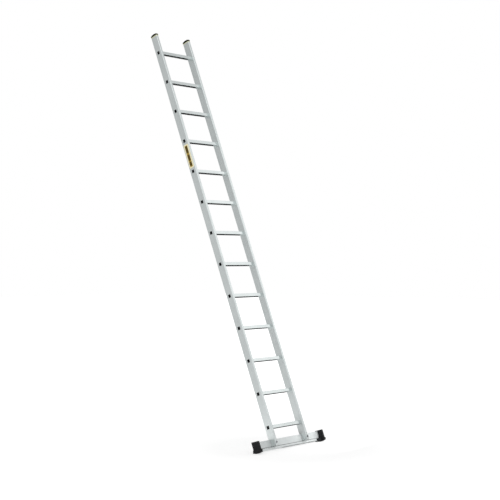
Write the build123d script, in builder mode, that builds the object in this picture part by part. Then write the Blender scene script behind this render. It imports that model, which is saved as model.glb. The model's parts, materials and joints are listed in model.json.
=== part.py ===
from build123d import *
from math import cos, radians, sin, sqrt, tan
import os

# A single section ladder, standing on the floor at its working lean.
# +Z is up, +X runs along the rungs and +Y is the side that the ladder leans towards.
# The origin is on the floor, midway between the feet, below the ladder's middle plane.

# Layout of the ladder, in millimetres and degrees
lean_angle = 21.3          # away from upright
rung_count = 13
rung_pitch = 280
first_rung = 192           # floor to the axis of the lowest rung, along the stiles
stile_spacing = 404        # between the stiles' centre planes
stile_head = 153           # stile end above the axis of the top rung

# Stiles: closed box extrusions
stile_thickness = 25
stile_depth = 68
stile_side_wall = 1.5
stile_edge_wall = 2.2
stile_corner = 5

# Rungs: square tubes with a ribbed tread, swaged into the stiles
rung_depth = 28
rung_height = 29.6
rung_corner = 3.5
rung_wall = 1.8
rung_fit = 0.15            # gap all round in the stile's sockets
tread_rib_count = 5
tread_rib_pitch = 4.5
tread_rib_width = 2
tread_rib_height = 0.8
bead_length = 3            # swaged bead against the stile's inner face
bead_proud = 1.8
rim_length = 1.2           # flared rim against the stile's outer face
rim_proud = 2
mouth_flare = 1.1

# Stabiliser bar: a hollow extrusion with a ledge that the stiles stand on
bar_length = 840
bar_setback = 12           # front of its web behind the ladder's middle plane
bar_thickness = 18
bar_top = 96               # heights along the stiles, from the floor
bar_ledge = 36
bar_bottom = 16
bar_wall = 2
bar_edge_cut = 1.5
ledge_step = 5
groove_height = 5
groove_depth = 5
front_bevel = 6
rear_bevel = 5
notch_gap = 1              # between the stile's notch and the top of the bar

# Bolts through the stiles' narrow faces into the bar
bolt_height = 64.5         # along the stiles, from the floor
bolt_diameter = 8
bolt_hole_gap = 0.3        # radial
bolt_head_flats = 13
bolt_head_height = 5.3
bolt_tip = 2               # thread past the nut
washer_diameter = 15
washer_thickness = 1.6
sleeve_width = 14          # square tube
sleeve_wall = 2
nut_flats = 13
nut_height = 6.5
edge_break = 0.6

# Feet: rubber shoes on the ends of the bar
foot_grip = 14             # length of bar inside the shoe
foot_end_wall = 4.5
foot_depth = 72
foot_rise = 7.5            # shoe above the top of the bar, at its rear
foot_top_fall = 6          # its top is this much lower at the front
foot_corner = 4
foot_bevel = 2
foot_fit = 0.3             # gap round the bar
cuff_length = 42           # trough along the lower rail of the bar
cuff_front = 9             # its front before the ladder's middle plane
cuff_bottom = 10.5         # heights along the stiles, from the floor
cuff_top = 35
cuff_clear = 2.5           # level part of its bottom above the floor
sole_thickness = 23        # at the rear
sole_land = 17             # flat length that stands on the floor
heel_round = 7
toe_rise = 28              # the sole rocks up this far at its front
toe_thickness = 14
sole_lip_front = 13
sole_lip_rear = 6.5
sole_lip_outer = 4
sole_lip_inner = 6
sole_corner = 13.5
sole_bevel = 2
tread_groove_count = 4
tread_groove_pitch = 15
tread_groove_width = 3
tread_groove_depth = 2
tread_groove_margin = 4

# End plugs and bumper caps at the stile tops
collar_height = 11
spigot_depth = 25
spigot_fit = 0.3
cap_height = 15.5          # in the middle of its arch
cap_edge = 9               # at the front and the rear
cap_bevel = 2.5
tongue_thickness = 8
tongue_depth = 40
tongue_height = 7
tongue_fit = 0.2

# Values that follow from the sizes above
lean = radians(lean_angle)
rung_heights = [first_rung + rung_pitch * step for step in range(rung_count)]
stile_top = rung_heights[-1] + stile_head
stile_outer = (stile_spacing + stile_thickness) / 2
stile_inner = (stile_spacing - stile_thickness) / 2
stile_front = -stile_depth / 2
bar_rear = bar_setback + bar_thickness
foot_top = bar_top + foot_rise
foot_inner = bar_length / 2 - foot_grip
foot_outer = bar_length / 2 + foot_end_wall
cuff_inner = foot_inner - cuff_length
sole_inner = foot_inner - sole_lip_inner
sole_outer = foot_outer + sole_lip_outer

# The ladder's own plane: X along the rungs, Y to the rear, Z up along the stiles
ladder = Plane(origin=(0, 0, 0), x_dir=(1, 0, 0), z_dir=(0, sin(lean), cos(lean)))
up_the_stiles = Axis((0, 0, 0), ladder.z_dir)
rearward = Axis((0, 0, 0), ladder.y_dir)


def across(x):
    """Plane square to the rungs at x, with its sketch running to the rear and up the stiles."""
    return Plane(origin=(x, 0, 0), x_dir=ladder.y_dir, z_dir=(1, 0, 0))


def to_rear(depth, height):
    """Plane parallel to the ladder's face, at a depth and a height, with its normal to the rear."""
    return Plane(origin=ladder.from_local_coords((0, depth, height)), x_dir=(1, 0, 0), z_dir=ladder.y_dir)


def floor_y(depth, z):
    """Level distance to the rear of a point that lies at a depth in the ladder and z above the floor."""
    return depth / cos(lean) + z * tan(lean)


def save(built, label):
    """Name a finished piece and write it to its own file."""
    built.part.label = label
    export_step(built.part, f"parts/{label}.step")


def stile_cavity(gap):
    """Hollow of a stile with its cut corners, or what goes into it with a gap all round."""
    with BuildSketch(Plane.XY) as cavity:
        Rectangle(
            stile_thickness - 2 * (stile_side_wall + gap),
            stile_depth - 2 * (stile_edge_wall + gap),
        )
        chamfer(cavity.vertices(), stile_corner - stile_side_wall)
    return cavity.sketch


def stile(side):
    """Box stile with a socket for each rung, a notch for the bar and a bolt hole in its front wall."""
    centre = side * stile_spacing / 2
    with BuildPart() as built:
        with BuildSketch(ladder.offset(bar_ledge)):
            with Locations((centre, 0)):
                RectangleRounded(stile_thickness, stile_depth, stile_corner)
                add(stile_cavity(0), mode=Mode.SUBTRACT)
        extrude(amount=stile_top - bar_ledge)
        with BuildSketch(across(centre)):
            with Locations(*[(0, height) for height in rung_heights]):
                Rectangle(rung_depth + 2 * rung_fit, rung_height + 2 * rung_fit)
        extrude(amount=stile_thickness, both=True, mode=Mode.SUBTRACT)
        with BuildSketch(across(centre)):
            with Locations((bar_setback, bar_top + notch_gap)):
                Rectangle(stile_depth, bar_top, align=(Align.MIN, Align.MAX))
        extrude(amount=stile_thickness, both=True, mode=Mode.SUBTRACT)
        with BuildSketch(to_rear(stile_front, bolt_height)):
            with Locations((centre, 0)):
                Circle(bolt_diameter / 2 + bolt_hole_gap)
        extrude(amount=stile_edge_wall, mode=Mode.SUBTRACT)
    return built


def rung(height):
    """Hollow rung: ribbed tube between the stiles, and in each stile a neck with a bead and a flared rim."""
    tread_half = stile_inner - bead_length
    rim_end = stile_outer + rim_length
    with BuildPart() as built:
        with BuildSketch(across(0)):
            with Locations((0, height)):
                RectangleRounded(rung_depth, rung_height, rung_corner)
            with Locations((0, height + rung_height / 2)):
                with GridLocations(tread_rib_pitch, 0, tread_rib_count, 1):
                    Rectangle(tread_rib_width, 2 * tread_rib_height)
        extrude(amount=tread_half, both=True)
        for side in (-1, 1):
            with BuildSketch(across(side * stile_inner)):
                with Locations((0, height)):
                    Rectangle(rung_depth, rung_height)
            extrude(amount=side * stile_thickness)
            for start, length, proud in (
                (tread_half, bead_length, bead_proud),
                (stile_outer, rim_length, rim_proud),
            ):
                with BuildSketch(across(side * start)) as ring:
                    with Locations((0, height)):
                        Rectangle(rung_depth + 2 * proud, rung_height + 2 * proud)
                    chamfer(ring.vertices(), proud)
                extrude(amount=side * length)
        with BuildSketch(across(0)):
            with Locations((0, height)):
                Rectangle(rung_depth - 2 * rung_wall, rung_height - 2 * rung_wall)
        extrude(amount=rim_end, both=True, mode=Mode.SUBTRACT)
        ends = built.faces().filter_by(Axis.X).sort_by(Axis.X)
        chamfer([edge for end in (ends[0], ends[-1]) for edge in end.inner_wires()[0].edges()], mouth_flare)
    return built


def bar_section():
    """Outline of the stabiliser bar: web, groove, ledge, and a lower rail with bevelled corners."""
    lower_front = bar_setback - ledge_step
    with BuildSketch(Plane.XY) as section:
        with BuildLine():
            Polyline(
                (bar_setback, bar_top),
                (bar_rear, bar_top),
                (bar_rear, bar_bottom + rear_bevel),
                (bar_rear - rear_bevel, bar_bottom),
                (lower_front + front_bevel, bar_bottom),
                (lower_front, bar_bottom + front_bevel),
                (lower_front, bar_ledge),
                (bar_setback + groove_depth, bar_ledge),
                (bar_setback + groove_depth, bar_ledge + groove_height),
                (bar_setback, bar_ledge + groove_height),
                close=True,
            )
        make_face()
        chamfer(section.vertices().group_by(Axis.Y)[-1], bar_edge_cut)
    return section.sketch


def stabiliser_bar():
    """Hollow bar with two chambers, drilled for the bolts."""
    outline = bar_section()
    with BuildPart() as built:
        with BuildSketch(across(-bar_length / 2)):
            add(outline)
            offset(amount=-bar_wall, kind=Kind.INTERSECTION, mode=Mode.SUBTRACT)
            with Locations((bar_rear - bar_wall, bar_ledge - bar_wall)):
                Rectangle(bar_thickness - bar_wall, bar_wall, align=(Align.MAX, Align.MIN))
        extrude(amount=bar_length)
        with BuildSketch(to_rear(bar_setback, bolt_height)):
            with GridLocations(stile_spacing, 0, 2, 1):
                Circle(bolt_diameter / 2 + bolt_hole_gap)
        extrude(amount=bar_thickness, mode=Mode.SUBTRACT)
    return built


def foot_upright(side):
    """Upright part of a shoe, with a top that falls to the front, and its cuff under the bar's lower rail."""
    with BuildPart() as built:
        with BuildSketch(across(side * foot_inner)) as profile:
            with BuildLine():
                Polyline(
                    (-foot_depth / 2, bar_bottom),
                    (foot_depth / 2, bar_bottom),
                    (foot_depth / 2, foot_top),
                    (-foot_depth / 2, foot_top - foot_top_fall),
                    close=True,
                )
            make_face()
            fillet(profile.vertices().sort_by(Axis.Y)[2:], foot_corner)
        extrude(amount=side * (foot_outer - foot_inner))
        chamfer(built.faces().filter_by(Axis.X).edges(), foot_bevel)
        with BuildSketch(across(side * cuff_inner)):
            with BuildLine():
                Polyline(
                    (-cuff_front, cuff_top),
                    (-cuff_front, cuff_bottom),
                    ((cuff_bottom * cos(lean) - cuff_clear) / sin(lean), cuff_bottom),
                    (foot_depth / 2, (cuff_clear + foot_depth / 2 * sin(lean)) / cos(lean)),
                    (foot_depth / 2, cuff_top),
                    close=True,
                )
            make_face()
        extrude(amount=side * (cuff_length + foot_bevel))
        cuff_end = built.faces().filter_by(Axis.X).sort_by(Axis.X)[0 if side > 0 else -1]
        chamfer(cuff_end.edges(), foot_bevel)
    return built.part


def foot(side):
    """Rubber shoe: a rocker sole with a flat land, an upright grip and a pocket for the end of the bar."""
    sole_rear = floor_y(foot_depth / 2, sole_thickness) + sole_lip_rear
    toe_top = toe_rise + toe_thickness
    sole_front = floor_y(-foot_depth / 2, toe_top) - sole_lip_front
    land_rear = sole_rear - heel_round
    land_front = land_rear - sole_land
    rocker_run = land_front - sole_front
    rocker_radius = (rocker_run**2 + toe_rise**2) / (2 * toe_rise)
    sole_width = sole_outer - sole_inner
    sole_middle = (side * (sole_inner + sole_outer) / 2, (sole_rear + sole_front) / 2)
    with BuildPart() as built:
        with BuildSketch(Plane.YZ.offset(side * sole_inner)):
            with BuildLine():
                Line((sole_rear, sole_thickness), (sole_rear, heel_round))
                TangentArc((sole_rear, heel_round), (land_rear, 0), tangent=(0, -1))
                Line((land_rear, 0), (land_front, 0))
                TangentArc((land_front, 0), (sole_front, toe_rise), tangent=(-1, 0))
                Line((sole_front, toe_rise), (sole_front, toe_top))
                Line((sole_front, toe_top), (sole_rear, sole_thickness))
            make_face()
        extrude(amount=side * sole_width)
        with BuildSketch(Plane.XY):
            with Locations(sole_middle):
                RectangleRounded(sole_width, sole_rear - sole_front, sole_corner)
        extrude(amount=toe_top, mode=Mode.INTERSECT)
        sole_top = built.faces().filter_by(lambda face: face.normal_at().Z > 0.5)
        chamfer(sole_top.edges(), sole_bevel)
        add(foot_upright(side))
        with BuildSketch(across(side * (cuff_inner - foot_bevel))):
            add(bar_section())
            offset(amount=foot_fit, kind=Kind.INTERSECTION)
        extrude(amount=side * (bar_length / 2 - cuff_inner + foot_bevel), mode=Mode.SUBTRACT)
        for step in range(tread_groove_count):
            past_land = tread_groove_pitch * (step + 0.5)
            sole_z = rocker_radius - sqrt(rocker_radius**2 - past_land**2)
            with BuildSketch(Plane.XY):
                with Locations((sole_middle[0], land_front - past_land)):
                    Rectangle(sole_width - 2 * tread_groove_margin, tread_groove_width)
            extrude(amount=sole_z + tread_groove_depth, mode=Mode.SUBTRACT)
    return built


def end_plug(side):
    """Plug in the top of a stile: a spigot inside the box and a collar level with its walls."""
    centre = side * stile_spacing / 2
    with BuildPart() as built:
        with BuildSketch(ladder.offset(stile_top)):
            with Locations((centre, 0)):
                RectangleRounded(stile_thickness, stile_depth, stile_corner)
        extrude(amount=collar_height)
        with BuildSketch(ladder.offset(stile_top)):
            with Locations((centre, 0)):
                add(stile_cavity(spigot_fit))
        extrude(amount=-spigot_depth)
        with BuildSketch(ladder.offset(stile_top + collar_height)):
            with Locations((centre, 0)):
                Rectangle(tongue_thickness + 2 * tongue_fit, tongue_depth + 2 * tongue_fit)
        extrude(amount=-tongue_height, mode=Mode.SUBTRACT)
    return built


def top_cap(side):
    """Arched bumper on the plug, held by a tongue."""
    centre = side * stile_spacing / 2
    cap_base = stile_top + collar_height
    half_depth = stile_depth / 2
    with BuildPart() as built:
        with BuildSketch(across(centre)):
            with BuildLine():
                Polyline(
                    (-half_depth, cap_base + cap_edge),
                    (-half_depth, cap_base),
                    (half_depth, cap_base),
                    (half_depth, cap_base + cap_edge),
                )
                ThreePointArc(
                    (half_depth, cap_base + cap_edge),
                    (0, cap_base + cap_height),
                    (-half_depth, cap_base + cap_edge),
                )
            make_face()
        extrude(amount=stile_thickness / 2, both=True)
        chamfer(built.edges().filter_by(GeomType.CIRCLE), cap_bevel)
        with BuildSketch(ladder.offset(cap_base)):
            with Locations((centre, 0)):
                RectangleRounded(stile_thickness, stile_depth, stile_corner)
        extrude(amount=cap_height, mode=Mode.INTERSECT)
        with BuildSketch(ladder.offset(cap_base)):
            with Locations((centre, 0)):
                Rectangle(tongue_thickness, tongue_depth)
        extrude(amount=-tongue_height)
    return built


def bolt_washers():
    """Washers under the heads of both bolts and under their nuts."""
    with BuildPart() as built:
        for depth in (stile_front - washer_thickness, bar_rear):
            with BuildSketch(to_rear(depth, bolt_height)):
                with GridLocations(stile_spacing, 0, 2, 1):
                    Circle(washer_diameter / 2)
                    Circle(bolt_diameter / 2 + bolt_hole_gap, mode=Mode.SUBTRACT)
            extrude(amount=washer_thickness)
    return built


def bolt_sleeves():
    """Square spacer tubes round both bolts, between the stile's front wall and the bar."""
    front = stile_front + stile_edge_wall
    with BuildPart() as built:
        with BuildSketch(to_rear(front, bolt_height)):
            with GridLocations(stile_spacing, 0, 2, 1):
                Rectangle(sleeve_width, sleeve_width)
                Rectangle(sleeve_width - 2 * sleeve_wall, sleeve_width - 2 * sleeve_wall, mode=Mode.SUBTRACT)
        extrude(amount=bar_setback - front)
    return built


def stabiliser_bolts():
    """Hexagon bolts from the stiles' front faces through the bar."""
    seat = stile_front - washer_thickness
    tip = bar_rear + washer_thickness + nut_height + bolt_tip
    with BuildPart() as built:
        with BuildSketch(to_rear(seat, bolt_height)):
            with GridLocations(stile_spacing, 0, 2, 1):
                RegularPolygon(bolt_head_flats / 2, 6, major_radius=False)
        extrude(amount=-bolt_head_height)
        head_faces = built.faces().filter_by(rearward).sort_by(rearward)[:2]
        chamfer([edge for face in head_faces for edge in face.edges()], edge_break)
        with BuildSketch(to_rear(seat, bolt_height)):
            with GridLocations(stile_spacing, 0, 2, 1):
                Circle(bolt_diameter / 2)
        extrude(amount=tip - seat)
    return built


def stabiliser_nuts():
    """Hexagon nuts on the rear of the bar."""
    with BuildPart() as built:
        with BuildSketch(to_rear(bar_rear + washer_thickness, bolt_height)):
            with GridLocations(stile_spacing, 0, 2, 1):
                RegularPolygon(nut_flats / 2, 6, major_radius=False)
                Circle(bolt_diameter / 2 + bolt_hole_gap, mode=Mode.SUBTRACT)
        extrude(amount=nut_height)
    return built


os.makedirs("parts", exist_ok=True)

for side, name in ((-1, "left"), (1, "right")):
    save(stile(side), f"{name}_stile")
    save(foot(side), f"{name}_foot")
    save(end_plug(side), f"{name}_end_plug")
    save(top_cap(side), f"{name}_top_cap")

for number, height in enumerate(rung_heights, start=1):
    save(rung(height), f"rung_{number:02d}")

save(stabiliser_bar(), "stabiliser_bar")
save(stabiliser_bolts(), "stabiliser_bolts")
save(stabiliser_nuts(), "stabiliser_nuts")
save(bolt_washers(), "bolt_washers")
save(bolt_sleeves(), "bolt_sleeves")
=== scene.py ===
# %% [markdown]
# # A single section ladder, dressed for the studio
# The solids of the ladder come in as a fixed frame: stiles, rungs, bar, feet, plugs, caps and
# bolts, each in its own node. Nothing here moves or resizes them. This file gives each one the
# finish of the real piece, adds two kinds of thin trim, a sticker and the lips of the bumpers, and
# sets up the floor, the cards, the lamps and the camera.

# %% Load the frame
import json
import math

import bmesh
import bpy
from mathutils import Matrix, Vector


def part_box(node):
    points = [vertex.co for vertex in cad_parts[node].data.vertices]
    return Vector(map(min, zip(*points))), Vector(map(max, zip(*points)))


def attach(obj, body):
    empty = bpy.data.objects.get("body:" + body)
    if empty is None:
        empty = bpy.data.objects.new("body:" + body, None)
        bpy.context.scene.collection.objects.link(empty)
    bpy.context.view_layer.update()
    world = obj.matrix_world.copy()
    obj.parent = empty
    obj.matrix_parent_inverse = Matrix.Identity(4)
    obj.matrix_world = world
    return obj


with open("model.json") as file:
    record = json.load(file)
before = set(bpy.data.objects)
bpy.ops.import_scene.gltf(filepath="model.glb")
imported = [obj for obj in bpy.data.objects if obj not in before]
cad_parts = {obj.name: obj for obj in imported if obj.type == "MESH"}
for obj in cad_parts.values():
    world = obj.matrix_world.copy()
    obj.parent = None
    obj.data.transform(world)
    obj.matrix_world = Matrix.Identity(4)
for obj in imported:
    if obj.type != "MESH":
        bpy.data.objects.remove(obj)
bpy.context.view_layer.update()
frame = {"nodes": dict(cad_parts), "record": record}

scene = bpy.context.scene
scene.view_settings.view_transform = "Standard"
nodes = frame["nodes"]
mounts = {mount["name"]: mount for mount in frame["record"]["mounts"]}

# %% [markdown]
# ## The ladder's own directions
# The ladder stands at its working lean, so its length is neither upright nor level. Extrusion marks
# run along the pieces, and a finish that ignored the lean would cut across them. The lean is read
# from the rear faces of the stiles, and the rung spacing from the boxes of the nodes, so every
# finish follows the frame.

# %% Lean, rung spacing and stile places
rear_face = Vector(mounts["left_rear_rest"]["axis"])
lean = math.atan2(-rear_face.z, rear_face.y)
to_ladder = Matrix.Rotation(lean, 4, "X")       # room coordinates to ladder coordinates
to_room = to_ladder.inverted()


def middle(node):
    """Centre of a node's box, in ladder coordinates."""
    low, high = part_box(node)
    return to_ladder @ ((low + high) / 2)


rung_names = sorted(name for name in nodes if name.startswith("rung_"))
first_rung = middle(rung_names[0]).z
rung_pitch = (middle(rung_names[-1]).z - first_rung) / (len(rung_names) - 1)
stile_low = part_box("left_stile")[0]
print("lean in degrees:", round(math.degrees(lean), 2))
print("first rung at", round(first_rung, 4), "and pitch", round(rung_pitch, 4))

# %% [markdown]
# ## Small helpers for shader nodes
# A finish is a network of nodes. Each helper here adds one node, fills in the sockets that are
# plain numbers, and links the ones that come from another node, so that a finish reads from top to
# bottom.


# %% Node helpers
def put(tree, kind, settings=None, **sockets):
    """Add a node, set its properties, and fill or link its inputs by name or number (i0, i1)."""
    node = tree.nodes.new(kind)
    for name, value in (settings or {}).items():
        setattr(node, name, value)
    for name, value in sockets.items():
        numbered = name[0] == "i" and name[1:].isdigit()
        socket = node.inputs[int(name[1:]) if numbered else name]
        if isinstance(value, bpy.types.NodeSocket):
            tree.links.new(value, socket)
        else:
            socket.default_value = value
    return node


def calc(tree, operation, *values, clamp=False):
    """One Math node on sockets or numbers."""
    named = {f"i{place}": value for place, value in enumerate(values)}
    node = put(tree, "ShaderNodeMath", {"operation": operation, "use_clamp": clamp}, **named)
    return node.outputs["Value"]


def blend_colour(tree, share, first, second):
    """Mix two colours by a share from 0 to 1."""
    node = put(tree, "ShaderNodeMix", {"data_type": "RGBA"}, Factor=share)
    for place, colour in ((6, first), (7, second)):
        if isinstance(colour, bpy.types.NodeSocket):
            tree.links.new(colour, node.inputs[place])
        else:
            node.inputs[place].default_value = (*colour, 1)
    return node.outputs[2]


def spread(tree, value, low, high, to_low=0.0, to_high=1.0):
    """Stretch a value from one range to another, and stop at the ends."""
    ends = {"From Min": low, "From Max": high, "To Min": to_low, "To Max": to_high}
    return put(tree, "ShaderNodeMapRange", {"clamp": True}, Value=value, **ends).outputs["Result"]


def new_group(name, inputs, outputs):
    """An empty shader group with named float, vector or colour sockets."""
    kinds = {"value": "NodeSocketFloat", "vector": "NodeSocketVector", "colour": "NodeSocketColor"}
    tree = bpy.data.node_groups.new(name, "ShaderNodeTree")
    for label, kind, start in inputs:
        socket = tree.interface.new_socket(name=label, in_out="INPUT", socket_type=kinds[kind])
        if start is not None:
            socket.default_value = start
    for label, kind in outputs:
        tree.interface.new_socket(name=label, in_out="OUTPUT", socket_type=kinds[kind])
    given = tree.nodes.new("NodeGroupInput").outputs
    return tree, given, tree.nodes.new("NodeGroupOutput").inputs


def use_group(tree, group, **sockets):
    """Place a group in a material, with its own values."""
    return put(tree, "ShaderNodeGroup", {"node_tree": group}, **sockets).outputs


print("node helpers ready")

# %% [markdown]
# ## Shared effect: ladder space
# Textures on these pieces need to know three things about a point: how far it is across the ladder,
# how deep it lies, and how far along the stiles. A UV map on each piece could hold that, but it
# would have to be unwrapped again after every change of a size. The solids carry their place in
# their own vertices, so turning the object coordinates by the lean about X gives all three.


# %% Group: ladder space
def make_ladder_space():
    results = [("Place", "vector"), ("Across", "value"), ("Depth", "value"), ("Along", "value")]
    tree, _, out = new_group("ladder_space", [], results)
    place = put(tree, "ShaderNodeTexCoord").outputs["Object"]
    about_x = {"rotation_type": "X_AXIS"}
    turned = put(tree, "ShaderNodeVectorRotate", about_x, Vector=place, Angle=lean).outputs[0]
    parts = put(tree, "ShaderNodeSeparateXYZ", Vector=turned)
    tree.links.new(turned, out["Place"])
    for name, axis in (("Across", "X"), ("Depth", "Y"), ("Along", "Z")):
        tree.links.new(parts.outputs[axis], out[name])
    return tree


ladder_space = make_ladder_space()
print("group:", ladder_space.name)

# %% [markdown]
# ## Shared effect: die lines
# Aluminium pushed through a die keeps faint lines along its length, a fraction of a millimetre
# apart. Cutting them into the mesh would cost far too many faces. A noise that is fine across the
# piece and very long along it gives the same look. A second, broader noise lets the lines come and
# go. The group takes the stretched coordinates, so one group serves stiles, rungs and bar.


# %% Group: die lines
def make_die_lines():
    tree, given, out = new_group(
        "die_lines",
        [("Place", "vector", None), ("Fine", "value", 1.0), ("Broad", "value", 1.0)],
        [("Lines", "value"), ("Bands", "value")],
    )
    place = given["Place"]
    fine_look = {"Scale": given["Fine"], "Detail": 2.0, "Roughness": 0.6}
    fine = put(tree, "ShaderNodeTexNoise", Vector=place, **fine_look)
    broad = put(tree, "ShaderNodeTexNoise", Vector=place, Scale=given["Broad"], Detail=1.0)
    lines = spread(tree, fine.outputs[0], 0.3, 0.7)
    bands = spread(tree, broad.outputs[0], 0.35, 0.65)
    tree.links.new(lines, out["Lines"])
    tree.links.new(bands, out["Bands"])
    return tree


die_lines = make_die_lines()
print("group:", die_lines.name)

# %% [markdown]
# ## Shared effect: handling marks
# A ladder is dragged, stacked and carried. Its flat faces get cloudy patches of oxide and thin
# scratches that run mostly along the piece. Painting them by hand would have to be done piece by
# piece, while noise covers them all and doesn't repeat. The clouds are a low noise, and the
# scratches are a noise squeezed until only its narrow peaks are left, seen only where the clouds
# allow it.


# %% Group: handling marks
def make_handling_marks():
    tree, given, out = new_group(
        "handling_marks",
        [("Place", "vector", None), ("Cloud Size", "value", 12.0), ("Scratch Size", "value", 60.0)],
        [("Clouds", "value"), ("Scratches", "value")],
    )
    place = given["Place"]
    cloud_look = {"Scale": given["Cloud Size"], "Detail": 4.0, "Roughness": 0.55}
    cloud = put(tree, "ShaderNodeTexNoise", Vector=place, **cloud_look)
    clouds = spread(tree, cloud.outputs[0], 0.35, 0.65)
    slant = {"Rotation": (0.35, 0.2, 0.15), "Scale": (1.0, 1.0, 0.06)}
    slanted = put(tree, "ShaderNodeMapping", Vector=place, **slant).outputs[0]
    streak_look = {"Scale": given["Scratch Size"], "Detail": 3.0}
    streak = put(tree, "ShaderNodeTexNoise", Vector=slanted, **streak_look)
    thin = spread(tree, streak.outputs[0], 0.66, 0.70)
    some = spread(tree, cloud.outputs[0], 0.5, 0.62)
    tree.links.new(clouds, out["Clouds"])
    tree.links.new(calc(tree, "MULTIPLY", thin, some), out["Scratches"])
    return tree


handling_marks = make_handling_marks()
print("group:", handling_marks.name)

# %% [markdown]
# ## Shared effect: rubbed edges
# Corners lose their bloom first: metal corners polish up, and rubber and plastic corners go grey.
# Blender's Pointiness finds corners too, but only as well as the mesh is divided. Comparing the
# surface's normal with a normal rounded over a small radius finds the corners of any solid,
# whatever its facets are. A little noise breaks the band up, because wear is never even.


# %% Group: rubbed edges
def make_rubbed_edges():
    tree, given, out = new_group(
        "rubbed_edges",
        [("Place", "vector", None), ("Radius", "value", 0.002), ("Patch Size", "value", 40.0)],
        [("Rub", "value")],
    )
    rounded = put(tree, "ShaderNodeBevel", {"samples": 4}, Radius=given["Radius"]).outputs["Normal"]
    plain = put(tree, "ShaderNodeNewGeometry").outputs["Normal"]
    compared = put(tree, "ShaderNodeVectorMath", {"operation": "DOT_PRODUCT"}, i0=rounded, i1=plain)
    corner = spread(tree, compared.outputs["Value"], 0.995, 0.9)
    patch_look = {"Scale": given["Patch Size"], "Detail": 3.0}
    patch = put(tree, "ShaderNodeTexNoise", Vector=given["Place"], **patch_look)
    uneven = spread(tree, patch.outputs[0], 0.3, 0.7)
    tree.links.new(calc(tree, "MULTIPLY", corner, uneven), out["Rub"])
    return tree


rubbed_edges = make_rubbed_edges()
print("group:", rubbed_edges.name)

# %% [markdown]
# ## Shared effect: moulded grain
# Rubber and plastic pieces carry the fine grain of their mould, and pale dust settles where they
# meet the ground. The grain is too fine to model, so a small cell noise goes into the bump. The
# dust could be a material of its own, but a mask that fades out with the height above the floor is
# enough.


# %% Group: moulded grain
def make_moulded_grain():
    tree, given, out = new_group(
        "moulded_grain",
        [("Place", "vector", None), ("Grain Size", "value", 900.0), ("Dust Height", "value", 0.03)],
        [("Grain", "value"), ("Dust", "value")],
    )
    place = given["Place"]
    grain = put(tree, "ShaderNodeTexVoronoi", Vector=place, Scale=given["Grain Size"])
    cloud = put(tree, "ShaderNodeTexNoise", Vector=place, Scale=70.0, Detail=5.0, Roughness=0.65)
    room = put(tree, "ShaderNodeTexCoord").outputs["Object"]
    height = put(tree, "ShaderNodeSeparateXYZ", Vector=room).outputs["Z"]
    low_down = spread(tree, height, given["Dust Height"], 0.0)
    settled = calc(tree, "MULTIPLY", low_down, spread(tree, cloud.outputs[0], 0.45, 0.7))
    tree.links.new(grain.outputs["Distance"], out["Grain"])
    tree.links.new(settled, out["Dust"])
    return tree


moulded_grain = make_moulded_grain()
print("group:", moulded_grain.name)

# %% [markdown]
# ## Starting a material
# Every finish below starts from an empty material with one Principled shader. Numbers that are the
# same all over the piece, such as Metallic, are written on the shader itself. Only what changes
# over the surface is linked.


# %% Material starter
def start_material(name, **plain):
    """A material with a Principled shader, and plain numbers on its sockets."""
    material = bpy.data.materials.new(name)
    material.use_nodes = True
    tree = material.node_tree
    tree.nodes.clear()
    shader = tree.nodes.new("ShaderNodeBsdfPrincipled")
    for socket, value in plain.items():
        shader.inputs[socket.replace("_", " ")].default_value = value
    out = tree.nodes.new("ShaderNodeOutputMaterial")
    tree.links.new(shader.outputs["BSDF"], out.inputs["Surface"])
    return material, tree, shader.inputs


def bump(tree, height, distance, strength=1.0, under=None):
    """A Bump node, on top of another bump if one is given."""
    sockets = {"Height": height, "Distance": distance, "Strength": strength}
    if under is not None:
        sockets["Normal"] = under
    return put(tree, "ShaderNodeBump", **sockets).outputs["Normal"]


print("material starter ready")

# %% [markdown]
# ## Mill-finish aluminium
# Stiles, rungs and bar are the same kind of extrusion: bare aluminium, satin, slightly cool. The
# three differ in which way the die lines run and in how bright they were rubbed, so one function
# makes all three. The hollow of a rung is painted dark, dull and not metallic, as painted shade
# within the tube, and the groove along the bar is painted darker, as painted shade in its recess:
# both are found by their place on the ladder, so the solids need no second material.


# %% Aluminium finishes
MILL_PALE = (0.765, 0.81, 0.808)
MILL_DULL = (0.70, 0.745, 0.742)
SCRATCH_PALE = (0.90, 0.905, 0.90)
# painted shade: the dark colour that stands for the shade within a rung's hollow
BORE_PAINTED_SHADE = (0.012, 0.013, 0.016)
# painted shade: the grey that stands for the shade in the groove along the bar
GROOVE_PAINTED_SHADE = (0.36, 0.365, 0.365)
SATIN_ROUGHNESS = (0.30, 0.42)
LONG_STRETCH = 0.004            # die lines are this much shorter across than along
DIE_LINE_HEIGHT = 0.00002
SCRATCH_DEPTH = 0.00005


def within(tree, value, low, high):
    """1 where a value lies between two numbers, and 0 elsewhere."""
    above = calc(tree, "GREATER_THAN", value, low)
    return calc(tree, "MULTIPLY", above, calc(tree, "LESS_THAN", value, high))


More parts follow.
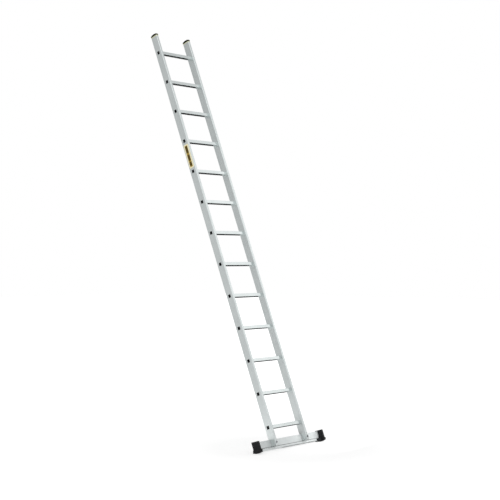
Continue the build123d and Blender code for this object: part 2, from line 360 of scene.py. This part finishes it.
def aluminium(name, run, metallic=1.0, pale=MILL_PALE, dull_tone=MILL_DULL, satin=SATIN_ROUGHNESS,
              bore=None, groove=None):
    """Satin extrusion with die lines along one ladder axis ('X' or 'Z'), painted shade in its bore
    if its half sizes are given, and painted shade in its groove if its limits in depth and height
    are given."""
    material, tree, shader = start_material(name, Metallic=metallic)
    space = use_group(tree, ladder_space)
    stretch = (LONG_STRETCH, 1, 1) if run == "X" else (1, 1, LONG_STRETCH)
    drawn = put(tree, "ShaderNodeMapping", Vector=space["Place"], Scale=stretch).outputs[0]
    die = use_group(tree, die_lines, Place=drawn, Fine=700.0, Broad=90.0)
    marks = use_group(tree, handling_marks, Place=space["Place"])
    rub = use_group(tree, rubbed_edges, Place=space["Place"])["Rub"]

    banded = calc(tree, "MULTIPLY", die["Bands"], 0.4)
    dull = calc(tree, "MULTIPLY_ADD", marks["Clouds"], 0.6, banded)
    tone = blend_colour(tree, dull, pale, dull_tone)
    scratched = calc(tree, "MULTIPLY", marks["Scratches"], 0.5)
    worn = calc(tree, "MAXIMUM", calc(tree, "MULTIPLY", rub, 0.3), scratched)
    tone = blend_colour(tree, worn, tone, SCRATCH_PALE)
    dull_left = calc(tree, "SUBTRACT", dull, calc(tree, "MULTIPLY", worn, 0.5))
    matt = spread(tree, dull_left, 0.0, 1.0, *satin)
    # painted shade within the bore: dark, matt and not metallic where the tube is hollow
    if bore:
        half_depth, half_height = bore
        step = calc(tree, "SUBTRACT", space["Along"], first_rung - rung_pitch / 2)
        from_axis = calc(tree, "SUBTRACT", calc(tree, "MODULO", step, rung_pitch), rung_pitch / 2)
        within_depth = calc(tree, "LESS_THAN", calc(tree, "ABSOLUTE", space["Depth"]), half_depth)
        within_height = calc(tree, "LESS_THAN", calc(tree, "ABSOLUTE", from_axis), half_height)
        bore_shade_mask = calc(tree, "MULTIPLY", within_depth, within_height)
        tone = blend_colour(tree, bore_shade_mask, tone, BORE_PAINTED_SHADE)
        matt = calc(tree, "MAXIMUM", matt, bore_shade_mask)
        tree.links.new(calc(tree, "SUBTRACT", 1.0, bore_shade_mask), shader["Metallic"])
    # painted shade in the groove: a darker colour where the recess lies
    if groove:
        from_front, to_back, from_low, to_high = groove
        deep = within(tree, space["Depth"], from_front, to_back)
        groove_shade_mask = calc(tree, "MULTIPLY", deep, within(tree, space["Along"], from_low, to_high))
        tone = blend_colour(tree, groove_shade_mask, tone, GROOVE_PAINTED_SHADE)
    ridges = bump(tree, die["Lines"], DIE_LINE_HEIGHT, 0.5)
    tree.links.new(tone, shader["Base Color"])
    tree.links.new(matt, shader["Roughness"])
    tree.links.new(bump(tree, marks["Scratches"], SCRATCH_DEPTH, 0.4, ridges), shader["Normal"])
    return material


RUNG_ROUGHNESS = (0.16, 0.26)                   # feet keep the rungs brighter than the stiles
# half sizes of the hollow of each rung, where shade is painted
RUNG_BORE = (0.0126, 0.0134)                    # half its depth and half its height
stile_metal = aluminium("stile_aluminium", "Z")
rung_metal = aluminium("rung_aluminium", "X", satin=RUNG_ROUGHNESS, bore=RUNG_BORE)
print("aluminium finishes:", stile_metal.name, rung_metal.name)

# %% [markdown]
# ## The duller metal of the stabiliser bar
# The bar lies on the ground and gathers a grey bloom of oxide and cement, so it looks evenly pale,
# with less of a mirror in it. Bare metal would show bright and dark bands here. Half metal and half
# dull surface, with a rougher skin, comes closer to the real look.

# %% Bar finish
BAR_PALE = (0.67, 0.70, 0.70)
BAR_DULL = (0.62, 0.65, 0.65)
BAR_ROUGHNESS = (0.42, 0.52)
BAR_METALLIC = 0.5
# where the groove's painted shade lies
BAR_GROOVE = (0.0126, 0.0174, 0.0355, 0.0415)   # from and to in depth, then along the stiles
bar_look = (BAR_METALLIC, BAR_PALE, BAR_DULL, BAR_ROUGHNESS)
bar_metal = aluminium("bar_aluminium", "X", *bar_look, groove=BAR_GROOVE)
print("bar finish:", bar_metal.name)

# %% [markdown]
# ## Black rubber, black bumper and pale plug
# The feet are matt black rubber, scuffed grey along their corners and dusty by the floor. The
# bumpers at the top are a harder black plastic with a warm cast. Between bumper and stile sits the
# pale yellow plug. All three come out of moulds, so they share one function with their own colours
# and gloss.


# %% Moulded finishes
DUST_COLOUR = (0.30, 0.28, 0.25)
RUBBER_BLACK = (0.010, 0.011, 0.012)
RUBBER_SCUFF = (0.06, 0.06, 0.06)
BUMPER_BLACK = (0.006, 0.0055, 0.002)
BUMPER_SCUFF = (0.03, 0.027, 0.015)
PLUG_CREAM = (0.57, 0.585, 0.38)
PLUG_SCUFF = (0.70, 0.71, 0.56)
GRAIN_HEIGHT = 0.00012


def moulded(name, colour, scuff_colour, matt, dusty, gloss=0.25):
    """Moulded piece with grain, scuffed corners and dust near the floor."""
    material, tree, shader = start_material(name, Specular_IOR_Level=gloss)
    space = use_group(tree, ladder_space)
    skin = use_group(tree, moulded_grain, Place=space["Place"])
    rub = use_group(tree, rubbed_edges, Place=space["Place"], Radius=0.0025)["Rub"]
    marks = use_group(tree, handling_marks, Place=space["Place"], **{"Cloud Size": 35.0})
    lighter = tuple(channel * 1.5 + 0.004 for channel in colour)
    tone = blend_colour(tree, calc(tree, "MULTIPLY", marks["Clouds"], 0.6), colour, lighter)
    tone = blend_colour(tree, calc(tree, "MULTIPLY", rub, 0.45), tone, scuff_colour)
    tone = blend_colour(tree, calc(tree, "MULTIPLY", skin["Dust"], dusty), tone, DUST_COLOUR)
    rough = calc(tree, "MULTIPLY_ADD", marks["Clouds"], 0.12, matt, clamp=True)
    tree.links.new(tone, shader["Base Color"])
    tree.links.new(rough, shader["Roughness"])
    tree.links.new(bump(tree, skin["Grain"], GRAIN_HEIGHT, 0.5), shader["Normal"])
    return material


rubber = moulded("black_rubber", RUBBER_BLACK, RUBBER_SCUFF, matt=0.62, dusty=0.04, gloss=0.15)
bumper = moulded("black_plastic", BUMPER_BLACK, BUMPER_SCUFF, matt=0.6, dusty=0.0, gloss=0.1)
plug = moulded("cream_plastic", PLUG_CREAM, PLUG_SCUFF, matt=0.45, dusty=0.0)
print("moulded finishes:", rubber.name, bumper.name, plug.name)

# %% [markdown]
# ## Zinc-plated fasteners
# Bolts, nuts, washers and sleeves are steel with a thin coat of zinc, which sets in small flat
# crystals. A picture of them would need an unwrapped mesh for each small piece. Cells of a Voronoi
# texture, each a little lighter or darker and a little rougher, show them at the right size.


# %% Zinc finish
ZINC_PALE = (0.36, 0.37, 0.39)
ZINC_DARK = (0.20, 0.21, 0.23)
ZINC_ROUGHNESS = (0.34, 0.5)
CRYSTAL_HEIGHT = 0.00003


def zinc_plating():
    material, tree, shader = start_material("zinc_steel", Metallic=1.0)
    space = use_group(tree, ladder_space)
    cells = put(tree, "ShaderNodeTexVoronoi", Vector=space["Place"], Scale=700.0)
    grey = put(tree, "ShaderNodeSeparateColor", Color=cells.outputs["Color"]).outputs["Red"]
    rub = use_group(tree, rubbed_edges, Place=space["Place"], Radius=0.0008)["Rub"]
    tone = blend_colour(tree, grey, ZINC_DARK, ZINC_PALE)
    tree.links.new(blend_colour(tree, rub, tone, SCRATCH_PALE), shader["Base Color"])
    tree.links.new(spread(tree, grey, 0.0, 1.0, *ZINC_ROUGHNESS), shader["Roughness"])
    tree.links.new(bump(tree, grey, CRYSTAL_HEIGHT, 0.5), shader["Normal"])
    return material


zinc = zinc_plating()
print("fastener finish:", zinc.name)

# %% [markdown]
# ## Dressing the solids
# Each node takes the finish of its material slot in the record. A list of names would work too, but
# this way a node that is added later is dressed by the same rule.

# %% Give each node its finish
finishes = {
    "stile_aluminium": stile_metal,
    "rung_aluminium": rung_metal,
    "bar_aluminium": bar_metal,
    "black_rubber": rubber,
    "black_plastic": bumper,
    "cream_plastic": plug,
    "zinc_steel": zinc,
}
for part in frame["record"]["subparts"]:
    piece = nodes[part["node"]]
    piece.data.materials.clear()
    piece.data.materials.append(finishes[part["material_slot"]])

# %% [markdown]
# ## The sticker on the left stile
# A printed film is stuck on the outer face of the left stile, between the ninth and tenth rungs. It
# could be a patch of colour in the stile's own material, but a film has an edge. So it is a thin
# rounded plate, a quarter of a millimetre thick, whose edge catches light as film does, and the
# print is a mask on the plate's own coordinates.

# %% Sticker plate
STICKER_WIDE = 0.054
STICKER_LONG = 0.213
STICKER_PITCHES = 8.5           # it is this many rung pitches above the first rung
STICKER_FORWARD = 0.002         # it sits this much nearer to the front of the face
STICKER_DOWN = 0.0010           # and this much below the middle between the rungs
STICKER_THICK = 0.00025
STICKER_CORNER = 0.008
STICKER_AIR = 0.00002           # between the film and the stile, so that their faces don't flicker
CORNER_STEPS = 6


def rounded_outline(wide, long, radius, steps):
    """Points round a rectangle with rounded corners."""
    points = []
    for turn, (side, end) in enumerate(((1, 1), (-1, 1), (-1, -1), (1, -1))):
        centre = Vector((side * (wide / 2 - radius), end * (long / 2 - radius)))
        for step in range(steps + 1):
            angle = math.pi / 2 * (turn + step / steps)
            points.append(centre + radius * Vector((math.cos(angle), math.sin(angle))))
    return points


def sticker_plate():
    shape = bmesh.new()
    outline = rounded_outline(STICKER_WIDE, STICKER_LONG, STICKER_CORNER, CORNER_STEPS)
    face = shape.faces.new([shape.verts.new((point.x, point.y, 0)) for point in outline])
    raised = bmesh.ops.extrude_face_region(shape, geom=[face])["geom"]
    top = [item for item in raised if isinstance(item, bmesh.types.BMVert)]
    bmesh.ops.translate(shape, verts=top, vec=(0, 0, STICKER_THICK))
    bmesh.ops.recalc_face_normals(shape, faces=shape.faces)
    mesh = bpy.data.meshes.new("stile_sticker")
    shape.to_mesh(mesh)
    shape.free()
    sticker = bpy.data.objects.new("stile_sticker", mesh)
    scene.collection.objects.link(sticker)
    return sticker


sticker = sticker_plate()
between = first_rung + STICKER_PITCHES * rung_pitch - STICKER_DOWN
seat = to_room @ Vector((stile_low.x - STICKER_AIR, -STICKER_FORWARD, between))
outward = Vector((-1, 0, 0))
upward = (to_room @ Vector((0, 0, 1))).normalized()
sideways = upward.cross(outward)
turn = Matrix((sideways, upward, outward)).transposed().to_4x4()
sticker.matrix_world = Matrix.Translation(seat) @ turn
print("sticker at", tuple(round(number, 4) for number in seat))

# %% [markdown]
# The print is three dark blocks and an amber band on cream. A picture could be laid on the plate,
# but shapes as plain as these are sharper as arithmetic: each block is a product of two soft steps,
# one across the film and one along it.

# %% Sticker print
CREAM = (0.93, 0.87, 0.60)
INK = (0.105, 0.067, 0.006)
AMBER = (0.38, 0.26, 0.05)
PRINT_WIDE = 0.029
PRINT_HALF_LONG = 0.09625
PRINT_BLUR = 0.0003             # the print's edges are this soft to either side
END_BLUR = 0.00025
FILM_WAVES = 0.00003            # how far the film stands off in its clouds
BLOCKS = ((-0.070, 0.034), (-0.014, 0.052), (0.060, 0.060))  # middle and length of each dark block


def printed_film():
    material, tree, shader = start_material("label_film", Roughness=0.38, Specular_IOR_Level=0.15)
    own = put(tree, "ShaderNodeTexCoord").outputs["Object"]
    parts = put(tree, "ShaderNodeSeparateXYZ", Vector=own).outputs
    off_centre = calc(tree, "ABSOLUTE", calc(tree, "ADD", parts["X"], STICKER_FORWARD))
    in_print = spread(tree, off_centre, PRINT_WIDE / 2 + PRINT_BLUR, PRINT_WIDE / 2 - PRINT_BLUR)
    ink = None
    for centre, length in BLOCKS:
        away = calc(tree, "ABSOLUTE", calc(tree, "SUBTRACT", parts["Y"], centre))
        block = spread(tree, away, length / 2 + PRINT_BLUR, length / 2 - PRINT_BLUR)
        ink = block if ink is None else calc(tree, "MAXIMUM", ink, block)
    off_middle = calc(tree, "ABSOLUTE", parts["Y"])
    ends = spread(tree, off_middle, PRINT_HALF_LONG + END_BLUR, PRINT_HALF_LONG - END_BLUR)
    amber = calc(tree, "MULTIPLY", in_print, ends)
    tone = blend_colour(tree, amber, CREAM, AMBER)
    tone = blend_colour(tree, calc(tree, "MULTIPLY", in_print, ink), tone, INK)
    rub = use_group(tree, handling_marks, Place=own, **{"Cloud Size": 40.0, "Scratch Size": 300.0})
    tone = blend_colour(tree, calc(tree, "MULTIPLY", rub["Scratches"], 0.5), tone, CREAM)
    tree.links.new(tone, shader["Base Color"])
    tree.links.new(bump(tree, rub["Clouds"], FILM_WAVES, 0.3), shader["Normal"])
    return material


sticker.data.materials.append(printed_film())
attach(sticker, "root")
print("sticker rides on the root body")

# %% [markdown]
# ## The lip of each bumper
# The black bumper overlaps its plug: a lip runs round the joint, a little wider than the stile. A
# curve with a bevel could follow the joint too, but its tight corners would need care. Here one
# closed section is carried round the outline of the stile, loop by loop. The outline and the height
# come from the plug's own vertices, so the lip sits where the plug and the bumper meet.

# %% Bumper lips
LIP_PROUD = 0.0018
LIP_SINK = 0.0003               # into the pieces behind it, so that no gap shows
LIP_BELOW = 0.0035
LIP_ABOVE = 0.0035
LIP_EDGE = 0.0007               # its edges are broken by this much
STILE_CORNER = 0.005
LIP_SECTION = (
    (-LIP_SINK, -LIP_BELOW),
    (LIP_PROUD - LIP_EDGE, -LIP_BELOW),
    (LIP_PROUD, -LIP_BELOW + LIP_EDGE),
    (LIP_PROUD, LIP_ABOVE - LIP_EDGE),
    (LIP_PROUD - LIP_EDGE, LIP_ABOVE),
    (-LIP_SINK, LIP_ABOVE),
)


def bumper_lip(name, plug_node):
    corners = [to_ladder @ vertex.co for vertex in nodes[plug_node].data.vertices]
    low = Vector([min(corner[axis] for corner in corners) for axis in range(3)])
    high = Vector([max(corner[axis] for corner in corners) for axis in range(3)])
    joint = Vector(((low.x + high.x) / 2, (low.y + high.y) / 2, high.z))
    shape = bmesh.new()
    loops = []
    for out, height in LIP_SECTION:
        wide, deep = high.x - low.x + 2 * out, high.y - low.y + 2 * out
        outline = rounded_outline(wide, deep, STILE_CORNER + out, CORNER_STEPS)
        places = [to_room @ (joint + Vector((point.x, point.y, height))) for point in outline]
        loops.append([shape.verts.new(place) for place in places])
    for first, second in zip(loops, loops[1:] + loops[:1]):
        for place in range(len(first)):
            after = (place + 1) % len(first)
            shape.faces.new((first[place], first[after], second[after], second[place]))
    bmesh.ops.recalc_face_normals(shape, faces=shape.faces)
    mesh = bpy.data.meshes.new(name)
    shape.to_mesh(mesh)
    shape.free()
    lip = bpy.data.objects.new(name, mesh)
    scene.collection.objects.link(lip)
    mesh.materials.append(bumper)
    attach(lip, "root")
    return lip


lips = [bumper_lip(f"{side}_cap_lip", f"{side}_end_plug") for side in ("left", "right")]
print("bumper lips:", [(lip.name, len(lip.data.polygons)) for lip in lips])

# %% [markdown]
# ## Floor
# The ladder stands in a white studio. A floor lit until it is pure white would need far more light
# than metal can take, so the floor is simply white to the camera and in every mirror image, and
# lights the dull pieces at a plain level. Where the camera looks, the floor still takes a share of
# its tone from the real light, which keeps the soft shadow under the feet.

# %% Floor
FLOOR_HALF = 30.0
FLOOR_GREY = (0.8, 0.8, 0.8, 1)
SHADOW_SHARE = (0.40, 0.40, 0.40, 1)
GLOW_NEAR = 0.60
GLOW_REACH = (0.6, 3.0)         # metres from the ladder over which the glow rises to full white


def seen_or_mirrored(tree):
    """1 for rays from the camera and for their mirror images, 0 for soft light."""
    path = put(tree, "ShaderNodeLightPath").outputs
    mirrored = calc(tree, "MAXIMUM", path["Is Glossy Ray"], path["Is Transmission Ray"])
    return calc(tree, "MAXIMUM", path["Is Camera Ray"], mirrored)


def stage_material(name):
    """An empty material for the studio, that isn't counted as a lamp."""
    material = bpy.data.materials.new(name)
    material.use_nodes = True
    material.node_tree.nodes.clear()
    material.cycles.emission_sampling = "NONE"
    return material, material.node_tree


def studio_floor():
    mesh = bpy.data.meshes.new("studio_floor")
    corners = [(x * FLOOR_HALF, y * FLOOR_HALF, 0) for x, y in ((-1, -1), (1, -1), (1, 1), (-1, 1))]
    mesh.from_pydata(corners, [], [(0, 1, 2, 3)])
    floor = bpy.data.objects.new("studio_floor", mesh)
    scene.collection.objects.link(floor)
    material, tree = stage_material("studio_floor")
    place = put(tree, "ShaderNodeTexCoord").outputs["Object"]
    away = put(tree, "ShaderNodeVectorMath", {"operation": "LENGTH"}, i0=place).outputs["Value"]
    solid = put(tree, "ShaderNodeBsdfDiffuse", Color=FLOOR_GREY).outputs[0]
    catch = put(tree, "ShaderNodeBsdfDiffuse", Color=SHADOW_SHARE).outputs[0]
    strength = spread(tree, away, *GLOW_REACH, GLOW_NEAR, 1.0)
    glow = put(tree, "ShaderNodeEmission", Strength=strength).outputs[0]
    white = put(tree, "ShaderNodeAddShader", i0=catch, i1=glow).outputs[0]
    both = put(tree, "ShaderNodeMixShader", i0=seen_or_mirrored(tree), i1=solid, i2=white)
    tree.links.new(both.outputs[0], tree.nodes.new("ShaderNodeOutputMaterial").inputs["Surface"])
    mesh.materials.append(material)
    return floor


floor = studio_floor()
print("floor:", floor.name)

# %% [markdown]
# ## Room
# Walls could be built, but white ones would look the same as a plain background. So the room is the
# world's background: white where it is seen or mirrored, and a touch weaker as a source of soft
# light, so that pale pieces keep their colour.

# %% Room
ROOM_FILL = 0.90                # how bright the room is as a source of soft light


def studio_room():
    world = bpy.data.worlds.new("studio")
    world.use_nodes = True
    tree = world.node_tree
    tree.nodes.clear()
    strength = calc(tree, "MULTIPLY_ADD", seen_or_mirrored(tree), 1 - ROOM_FILL, ROOM_FILL)
    shine = put(tree, "ShaderNodeBackground", Color=(1, 1, 1, 1), Strength=strength).outputs[0]
    tree.links.new(shine, tree.nodes.new("ShaderNodeOutputWorld").inputs["Surface"])
    scene.world = world


studio_room()
print("room:", scene.world.name)

# %% [markdown]
# ## Pale cards
# Bare metal shows what stands around it, and in a room that is white all over it would look like
# paper. A photographer sets up cards. The pale ones here are graded from the foot to the far edge,
# so the tone slides along the ladder: one to the left, behind, for the sides of the stiles, a high
# one to the right for their upper fronts, one by the camera for what faces back to it, and a low
# one on the floor in front of the bar. The cards show in the metal alone: not to the camera, and
# they cast no shadow.


# %% Graded cards
def graded_card(name, foot, side, reach, near, far, grade=(0.0, 1.0)):
    """A card from the middle of its foot edge: its width and its reach as vectors, its tone near
    the foot and far from it, and the shares of its reach between which the tone slides."""
    mesh = bpy.data.meshes.new(name)
    mesh.from_pydata([(-0.5, 0, 0), (0.5, 0, 0), (0.5, 1, 0), (-0.5, 1, 0)], [], [(0, 1, 2, 3)])
    card = bpy.data.objects.new(name, mesh)
    side, reach = Vector(side), Vector(reach)
    facing = side.cross(reach).normalized()
    spanned = Matrix((side, reach, facing)).transposed().to_4x4()
    card.matrix_world = Matrix.Translation(foot) @ spanned
    scene.collection.objects.link(card)
    material, tree = stage_material(name)
    place = put(tree, "ShaderNodeTexCoord").outputs["Object"]
    from_foot = put(tree, "ShaderNodeSeparateXYZ", Vector=place).outputs["Y"]
    tone = spread(tree, from_foot, *grade, near, far)
    glow = put(tree, "ShaderNodeEmission", Strength=tone).outputs[0]
    tree.links.new(glow, tree.nodes.new("ShaderNodeOutputMaterial").inputs["Surface"])
    mesh.materials.append(material)
    card.visible_camera = False
    card.visible_diffuse = False
    card.visible_shadow = False
    return card


SIDE_GRADE = (0.38, 0.75)       # the side card's tone slides over this part of its reach
cards = [
    graded_card("side_card", (-1.75, -0.14, 3.0), (1.16, 1.38, 6.0), (2.57, 3.06, 0),
                near=0.74, far=0.38, grade=SIDE_GRADE),
    graded_card("high_card", (3.1, -0.6, 4.4), (3.1, 5.1, 0), (0, 0, 3.0), near=1.0, far=0.35),
    graded_card("camera_card", (-4.6, -3.6, 0.0), (3.6, -4.3, 0), (0, 0, 5.0), near=0.72, far=0.62),
    graded_card("bar_card", (0.05, -0.012, 0.0015), (1.0, 0, 0), (0.20, -0.35, 0),
                near=0.15, far=0.30),
]
print("pale cards:", [card.name for card in cards])

# %% [markdown]
# ## Dark cards
# The undersides of the rungs are nearly black lines in the picture. They face down and back, so
# they mirror the floor to the right, and their rounded lower corners sweep over the floor in front
# of that. Dark cards lie there: one close to the ladder, a sloping strip behind it, and two low
# walls farther off, whose tops stay below what the fronts of the rungs mirror.

# %% Dark cards
DARK_TONE = 0.02
DARK_CARDS = {
    "near_floor_card": ((1.27, -2.16, 0.002), (3.18, -5.1, 0), (3.57, 2.23, 0)),
    "floor_card": ((1.17, 0.965, 0.003), (1.31, -1.77, 0), (5.66, 4.18, 2.0)),
    "low_wall_card": ((4.65, -3.82, 0.0), (3.6, 5.4, 0), (0, 0, 1.6)),
    "far_wall_card": ((8.87, -7.3, 0.0), (5.55, 8.3, 0), (0, 0, 2.8)),
}
for name, (foot, side, reach) in DARK_CARDS.items():
    graded_card(name, foot, side, reach, DARK_TONE, DARK_TONE)
print("dark cards:", list(DARK_CARDS))

# %% [markdown]
# ## Lamps
# Point lamps would draw hard shadows. Three soft boxes light the dull pieces and draw the shadow: a
# tall one in front, to the right, a small low one before the right foot, which brightens that end
# of the bar, and one above. The small one is kept out of mirror images, where it would show as a
# bright square.


# %% Soft panels
def soft_panel(name, centre, aim, wide, high, brightness, mirrored=True):
    """A soft box: its power follows from its size and how bright its face is."""
    lamp = bpy.data.lights.new(name, "AREA")
    lamp.shape = "RECTANGLE"
    lamp.size = wide
    lamp.size_y = high
    lamp.energy = brightness * math.pi * wide * high
    panel = bpy.data.objects.new(name, lamp)
    panel.location = centre
    panel.rotation_euler = (Vector(aim) - Vector(centre)).to_track_quat("-Z", "Y").to_euler()
    panel.visible_camera = False
    panel.visible_glossy = mirrored
    scene.collection.objects.link(panel)
    return panel


ladder_heart = (0.0, 0.67, 1.7)
ladder_foot = (0.35, 0.0, 0.06)
soft_panel("front_panel", (3.1, -1.3, 2.8), ladder_heart, wide=3.0, high=3.0, brightness=0.10)
soft_panel("low_panel", (0.39, -0.32, 0.22), ladder_foot, wide=0.35, high=0.35, brightness=4.4,
           mirrored=False)
soft_panel("top_panel", (-1.0, -1.0, 6.5), ladder_heart, wide=4.0, high=4.0, brightness=0.5)
print("panels:", [lamp.name for lamp in bpy.data.lights])

# %% [markdown]
# ## Camera
# The picture is taken from about ten metres away with a long lens, from the left of the ladder's
# front, at chest height. The place, the angles and the lens were found by fitting the ladder's own
# corners to the photograph.

# %% Camera
CAMERA_PLACE = (-7.7723, -6.0794, 1.5513)
CAMERA_TURN = 50.022            # degrees from +Y towards +X
CAMERA_TILT = 0.284             # degrees above level
LENS = 87.684                   # millimetres
SENSOR = 36.0                   # millimetres
FAR_CLIP = 200.0

camera_data = bpy.data.cameras.new("camera")
camera_data.lens = LENS
camera_data.sensor_width = SENSOR
camera_data.clip_end = FAR_CLIP
camera = bpy.data.objects.new("camera", camera_data)
camera.location = CAMERA_PLACE
camera.rotation_euler = (math.radians(90 + CAMERA_TILT), 0, math.radians(-CAMERA_TURN))
scene.collection.objects.link(camera)
scene.camera = camera
print("camera at", CAMERA_PLACE, "lens", LENS)

# %% [markdown]
# ## End
# This last cell only prints that the set-up has run. Trim must not make the ladder
# bigger than its solids.

# %% Finish
print("set-up done")
